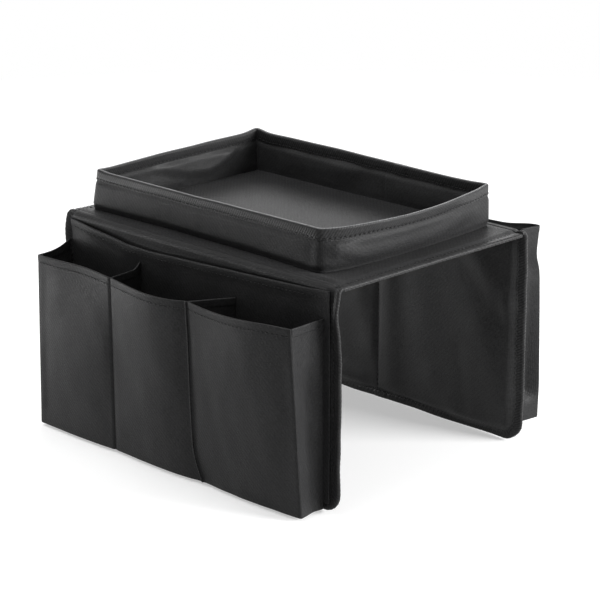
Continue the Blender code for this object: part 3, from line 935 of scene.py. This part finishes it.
# Pockets, in each flap's own way along: on the far flap it runs towards -X. Reach is the depth at
# the row's start and end, from floor to mouth. Roots, mouths and feet are the walls' places as
# shares of the length. A seam says how deep the faces before and after a wall are drawn in, over
# what width, and the fold beside it; a lip by how much a wall's root stands up, over what share of
# its depth, and its power.
far_reach = (
    (0, 31), (0.17, 32), (0.32, 31), (0.6, 29), (0.77, 27.4), (0.81, 25.6), (0.84, 22.8), (0.88, 22.6),
    (0.94, 24), (1, 25.4),
)
rows_of_pockets = {
    -1: dict(
        names=("left", "middle", "right"), root=1.4, mouth=31.5, floor=2.4, roundness=1.35,
        reach=(((0, 37.5), (1, 37.5)), ((0, 27.0), (1, 37.5))),
        bulges=(
            ((0, 1.0), (0.5, 3.6), (0.8, 1.6), (1, -2.8)),
            ((0, 1.6), (0.2, 4.6), (0.5, 6.2), (1, 8.0)),
            ((0, 1.4), (0.2, 4.0), (0.5, 5.8), (1, 6.8)),
        ),
        roots=(-0.486, -0.206, 0.150, 0.453),
        mouths=(-0.4875, -0.197, 0.091, 0.4625),
        feet=(-0.4875, -0.204, 0.130, 0.4625),
        seams=((0, 0.4, 2.4, 0), (0.7, 1.1, 3.0, 0), (0, 1.4, 12.0, 1.3), (0.3, 0, 0, 0)),
        lips=((7.5, 1, 3), (5.0, 0.3, 2), (0, 1, 1), (0, 1, 1)),
    ),
    1: dict(
        names=("right", "left"), root=0.4, mouth=4.8, floor=13.5, roundness=1.0,
        reach=(far_reach, far_reach),
        bulges=(((0, 0.6), (0.5, 3.0), (0.78, -1.5), (0.94, -12.5), (1, -9.0)),) * 2,
        roots=(-0.464, 0.0, 0.464),
        mouths=(-0.478, 0.0, 0.478),
        feet=(-0.478, 0.0, 0.478),
        seams=((0, 0.4, 2.4, 0), (1.2, 1.8, 2.4, 0), (0.4, 0, 0, 0)),
        lips=((-5.2, 0.38, 2), (-2.0, 0.38, 2), (-2.0, 0.38, 2)),
    ),
}
straight = ((0, 0), (1, 0))
bow_tables = {
    (-1, 0): ((0, -2.5), (1, 1.5)),
    (-1, 1): ((0, 0.5), (1, 0.8)),
    (-1, 2): ((0, -1.5), (0.1, -7.0), (0.17, -8.6), (0.3, -7.6), (0.5, -5.2), (0.8, -0.6), (1, 1)),
    (-1, 3): ((0, -1.5), (1, -2.8)),
    (1, 0): straight,
    (1, 1): ((0, 0), (0.5, 1.5), (1, 0)),
    (1, 2): straight,
}
wall_bows = {place: curve(table, 0.05) for place, table in bow_tables.items()}
# A gusset's fold: its form from the root to the front, and how deep it is from floor to mouth
fold_forms = {-1: curve(((0, 0), (0.36, 1), (1, 0)), 0.07), 1: curve(((0, 0), (0.66, 1), (1, 0)), 0.04)}
fold_depths = {
    -1: curve(((0, 2.0), (0.15, 3.6), (0.4, 6.2), (0.7, 5.6), (0.9, 1.8), (1, 0))),
    1: curve((
        (0, 0.0), (0.10, 0.6), (0.15, 8.2), (0.3, 7.2), (0.55, 4.2), (0.75, 1.2), (0.82, 2.2), (1, 0.4)
    ), 0.02),
}
far_face_creases = ((40, 30, 60, 140, 14, 1.0), (120, 60, 135, 140, 10, 1.0))
face_creases = {
    "front_left": (
        (-150, 20, -146, 130, 7, -0.9), (-120, 60, -80, 20, 14, 0.8), (-95, 125, -70, 90, 9, 0.7)),
    "front_middle": (
        (-50, 130, -20, 60, 12, 0.8), (15, 40, 30, 110, 10, -0.9), (-55, 20, -30, 50, 10, 0.6)),
    "front_right": (
        (60, 120, 80, 30, 12, 0.8), (135, 30, 142, 120, 8, -1.0), (100, 125, 125, 95, 10, 0.7)),
    "far_right": far_face_creases,
    "far_left": far_face_creases,
}


def hem_line(points, below, side, ends):
    """The stitch line along a hem, on the outside of the cloth, and the way out of it."""
    line = points[np.abs(below[:, 0] - hem).argmin(), ends:-ends]
    way = np.array([0, side, 0.0])
    return line + way * 0.55 * MM, np.broadcast_to(way, line.shape)


class Pockets:
    """The open pockets of one flap. v is the share of the height from floor to mouth."""

    def __init__(self, side):
        table = rows_of_pockets[side]
        self.side, self.word, self.body = side, words[side], f"{words[side]}_flap"
        self.names, self.last = table["names"], len(table["names"])
        self.roundness, self.seams, self.lips = table["roundness"], table["seams"], table["lips"]
        self.reach = [curve(reach, 0.03) for reach in table["reach"]]
        self.bulges = [curve(bulge, 0.03) for bulge in table["bulges"]]
        self.root = fold_radius + table["root"] * MM
        self.floor_z = table["floor"] * MM
        self.tall = top_z - table["mouth"] * MM - self.floor_z
        for key in ("roots", "mouths", "feet"):
            setattr(self, key, [share * 2 * half_length for share in table[key]])
        self.rows = []

    def world(self, x, out, z):
        x, out, z = np.broadcast_arrays(x, out, z)
        return np.stack([-self.side * x, axis_y[self.side] + self.side * out, z], -1)

    def wall_x(self, wall, v):
        return mix(self.feet[wall], self.mouths[wall], v) + wall_bows[self.side, wall](v)

    def depth(self, x, v):
        along = (x - self.feet[0]) / (self.feet[-1] - self.feet[0])
        return fold_radius + mix(self.reach[0](v), self.reach[1](v), along)

    def lift(self, x):
        """How much higher the mouth stands than on a level line."""
        if self.side < 0:
            return 4.2 * MM * ramp(x, 45, 100) - ridge(x, 0.6, 60, -15)
        return 3.4 * MM * ramp(-x, 116, 33)

    def height(self, x, v):
        return self.floor_z + v * self.tall + self.lift(x) * v**2

    def bulge(self, pocket, u, v):
        return self.bulges[pocket](v) * np.sin(math.pi * u**self.roundness)

    def levels(self, step):
        return spaced(0, self.tall, step, near=(self.tall - hem,)) / self.tall

    def seam_form(self, pocket, v, from_start, from_end):
        """How the seams at both ends draw a face in, and the folds that they leave beside them."""
        (_, left, width, left_fold), (right, _, _, right_fold) = self.seams[pocket:pocket + 2]
        width = mix(width, 2.6 if left_fold == 0 else 4.0, v)
        beside = ridge(from_end, 1.3, 1.1) - ridge(from_end, 0.9, mix(9, 6, v))
        drawn = ridge(from_start, left, width) + ridge(from_end, right, 1.1)
        return ridge(from_start, 0.8 * left_fold, 1.6) + right_fold * beside - drawn

    def face(self, pocket):
        name = f"{self.word}_{self.names[pocket]}"
        seed = 70 + 5 * self.side + pocket
        width = self.mouths[pocket + 1] - self.mouths[pocket]
        u_line = spaced(0, width, face_step, near=(1.6 * MM, width - 1.6 * MM)) / width
        v, u = grid(self.levels(face_step), u_line)
        overlap = 0.6 * MM if self.side < 0 and pocket == 2 else -seam_gap
        start, end = self.wall_x(pocket, v) - overlap, self.wall_x(pocket + 1, v) - seam_gap
        x, up = mix(start, end, u), v * self.tall
        from_start, from_end, below = x - start, end - x, (1 - v) * self.tall
        out = self.depth(x, v) + self.bulge(pocket, u, v) - cloth_half
        out = out + self.seam_form(pocket, v, from_start, from_end)
        out = out - ridge(below - hem, 0.14, 1.1) + ridge(below, 0.10, 2.2, 2.2)
        if self.side > 0:
            out = out + 2.8 * MM * ease((hem + 1 * MM - below) / hem) * np.sin(math.pi * u) ** 0.6
        soft = waves(0.7, x, up, seed, 70) + waves(0.25, x, up, seed + 30, 28)
        soft = 0.6 * soft + 0.5 * creases(x, up, face_creases[name])
        fade = ramp(from_start, 0, 8) * ramp(from_end, 0, 8)
        out = out + soft * fade * mix(0.4, 1, ramp(below, 0, 12))
        points = self.world(x, out, self.height(x, v) + waves(0.4, x, 0, seed + 50, 60) * v * v)
        inner = np.where(below < hem, 1.2 * MM, cloth_half)
        cloth(
            f"{name}_pocket_front", points, (x, up), (width, self.tall), "stretched",
            f"{name}_pocket_base", outer_cloth, [f"{self.word}_pocket_{self.names[pocket]}_face"],
            self.body, inner=inner)
        self.rows.append(hem_line(points, below, self.side, 1))

    def wall(self, wall):
        """A gusset at an end of the row, or a partition between two pockets."""
        inside = 0 < wall < self.last
        depth = float(self.reach[0](1.0))
        v, u = grid(self.levels(cloth_step), spaced(0, depth, 2.0 * MM) / depth)
        x, up = self.wall_x(wall, v), v * self.tall
        below = (1 - v) * self.tall
        thick = np.where(below < hem, 1.65 * MM, 2 * cloth_half)
        front = self.depth(x, v) - thick - 0.35 * MM - (2.2 * MM if inside else 0)
        lip_height, lip_reach, lip_power = self.lips[wall]
        lip = lip_height * MM * np.maximum(1 - u / lip_reach, 0) ** lip_power
        if inside:
            name, node = f"{self.word}_partition_{wall}", f"{self.word}_divider_{wall}"
            shape = 1.2 * MM * np.sin(math.pi * u) * np.sin(3 * v)
        else:
            end, way = (self.names[0], 1) if wall == 0 else (self.names[-1], -1)
            name, node = f"{self.word}_{end}_gusset", f"{self.word}_gusset_{end}"
            shape = way * fold_depths[self.side](v) * fold_forms[self.side](u) / MM
        z = self.height(x, v) + lip * v**6
        points = self.world(mix(self.roots[wall], x, u) + shape, mix(self.root, front, u), z)
        soft = waves(0.4, u * depth, up, 90 + wall + 9 * self.side, 40) * np.sin(math.pi * u)
        points = points + surface_normals(points) * soft[..., None]
        cloth(
            name, points, (u * depth, up), (depth, self.tall), "folded", f"{self.word}_outer_cloth",
            lining_cloth if inside else outer_cloth, [node], self.body,
            inner=np.where(below < hem, 0.8 * MM, cloth_half))

    def base(self, pocket):
        name, gap = self.names[pocket], 1.1 * MM
        v, u = grid(np.linspace(0, 1, 16), np.linspace(0, 1, 40))
        start = mix(self.roots[pocket], self.wall_x(pocket, 0), v) + gap
        end = mix(self.roots[pocket + 1], self.wall_x(pocket + 1, 0), v) - gap
        x = mix(start, end, u)
        front = self.depth(x, 0) + self.bulge(pocket, u, 0) - 1.6 * MM
        z = self.floor_z + cloth_half + 0.6 * MM * np.sin(math.pi * u) * np.sin(math.pi * v)
        points = self.world(x, mix(self.root, front, v), z)
        size = (self.feet[pocket + 1] - self.feet[pocket], (front - self.root).mean())
        cloth(
            f"{self.word}_{name}_pocket_base", points, (x, v * 30 * MM), size, "stretched",
            f"{self.word}_outer_cloth", lining_cloth, [f"{self.word}_pocket_{name}_floor"], self.body)

    def build(self):
        for pocket in range(self.last):
            self.base(pocket)
        for pocket in range(self.last):
            self.face(pocket)
        for wall in (0, self.last, *range(1, self.last)):
            self.wall(wall)
        return self.rows


hem_rows = {side: Pockets(side).build() for side in words}

# The cloth that the front pockets are sewn on: x and way down from the top of its wavering edge
backing_edge = (
    (-153, -6.3), (-125, -9.0), (-90, -12.4), (-80, -14.0), (-52, -14.4), (-15, -12.7), (25, -10.8),
    (85, -8.0), (150, -4.4),
)
edge_x, edge_z = np.array(backing_edge).T * MM
low, tall = 8.6 * MM, 0.16
xs = spaced(-152.5 * MM, 151 * MM, cloth_step)
v, x = grid(spaced(0, tall, cloth_step, near=(tall - hem,)) / tall, xs)
high = np.pad(top_z + np.interp(xs, edge_x, edge_z), 2, "edge")
high = np.convolve(high, np.ones(5) / 5, "valid")
z = mix(low, high, v)
below = high - z
gape = ridge(below, 2.6, 7) * mix(1, 0.4, ramp(np.abs(x), 122, 30))
out = fold_radius + 0.75 * MM + gape + waves(0.3, x, z, 81, 50) * ramp(below, 0, 8)
points = np.stack([x, axis_y[-1] - out, z], -1)
inner = np.where(below < hem, 0.9 * MM, cloth_half)
cloth(
    "front_backing_cloth", points, (x, z), (0.303, 0.163), "stretched", "front_outer_cloth",
    outer_cloth, ["front_pocket_backing"], "front_flap", outer=0.5 * MM, inner=inner)
hem_rows[-1].append(hem_line(points, below, -1, 2))

for side, word in words.items():
    stitches(f"{word}_stitches", hem_rows[side], 5 + side, body=f"{word}_flap")
    stitches(f"{word}_binding_stitches", seam_rows[side], 8 + side, across=side)

s_line = np.linspace(fold_arc + 6 * MM, s_foot - 9 * MM, 120)
line = panel(1, 0.0, s_line, -(field_height + cloth_half + 0.05 * MM))
outward = np.broadcast_to([0, -1.0, 0], line.shape)
stitches("far_lining_stitches", [(line, outward)], 12, body="far_flap")

for name, node in frame["nodes"].items():
    if name.endswith("_board"):
        node.material_slots[0].material = board_plastic

# Camera at the photograph's angle, as fitted to it
azimuth, elevation = math.radians(44.98), math.radians(17.58)
distance, aside, upwards = 1.7469, 0.0059, -0.0662
focal_pixels, picture_pixels, sensor_width = 2102.45, 600, 36
flat_back = np.array([math.sin(azimuth), -math.cos(azimuth), 0]) * math.cos(elevation)
back = flat_back + (0, 0, math.sin(elevation))
right = np.array([math.cos(azimuth), math.sin(azimuth), 0])
above = np.cross(back, right)
eye = back * distance + right * aside + above * upwards + (0, middle_y, top_z)
camera = add_object("camera", bpy.data.cameras.new("camera"))
camera.data.sensor_width = sensor_width
camera.data.lens = focal_pixels / picture_pixels * sensor_width
rows = [[right[i], above[i], back[i], eye[i]] for i in range(3)]
camera.matrix_world = Matrix(rows + [[0, 0, 0, 1]])
bpy.context.scene.camera = camera

# Studio: large soft lamps (place, target, size, power), a white world and a round pale floor
lamps = {
    "overhead_light": ((-0.2, -0.25, 1.4), (0, 0, 0.1), (0.9, 0.7), 13),
    "back_right_light": ((1.6, 0.9, 0.6), (0, 0, 0.1), (1.0, 0.8), 72),
    "back_left_light": ((-1.0, 1.0, 1.0), (0, 0, 0.15), (0.9, 0.6), 7),
    "front_light": ((-2.4, -1.5, 0.6), (0, 0, 0.15), (1.2, 0.8), 7),
    "left_light": ((-0.60, -0.36, 0.07), (0, -0.1, 0.09), (0.5, 0.12), 1.5),
}
for name, (place, target, size, power) in lamps.items():
    light = bpy.data.lights.new(name, "AREA")
    light.shape = "RECTANGLE"
    light.size, light.size_y = size
    light.energy = power
    ob = add_object(name, light)
    ob.location = place
    ob.visible_camera = False
    ob.rotation_euler = (ob.location - Vector(target)).to_track_quat("Z", "Y").to_euler()

world_light = 0.28
world = bpy.data.worlds.new("studio")
bpy.context.scene.world = world
n = Nodes(world, "Background")
n.put({"Color": (1, 1, 1, 1), "Strength": n.scaled(n.seen(), 1 - world_light, world_light)})

floor_reach, floor_grey, floor_glow = 1.55, 0.70, 0.40
floor_mesh = bpy.data.meshes.new("floor")
turns = np.linspace(0, 2 * math.pi, 96, endpoint=False)
edge = [(floor_reach * math.cos(t), floor_reach * math.sin(t), 0) for t in turns]
floor_mesh.from_pydata(edge, [], [tuple(range(len(edge)))])
floor = add_object("floor", floor_mesh)
floor.location.z = -0.5 * MM
material = bpy.data.materials.new("floor")
n = Nodes(material)
n.put({
    "Base Color": (floor_grey, floor_grey, floor_grey, 1), "Roughness": 0.9,
    "Emission Color": (1, 1, 1, 1), "Emission Strength": n.product(n.seen(), floor_glow),
})
floor_mesh.materials.append(material)

bpy.context.scene.view_settings.view_transform = "Standard"
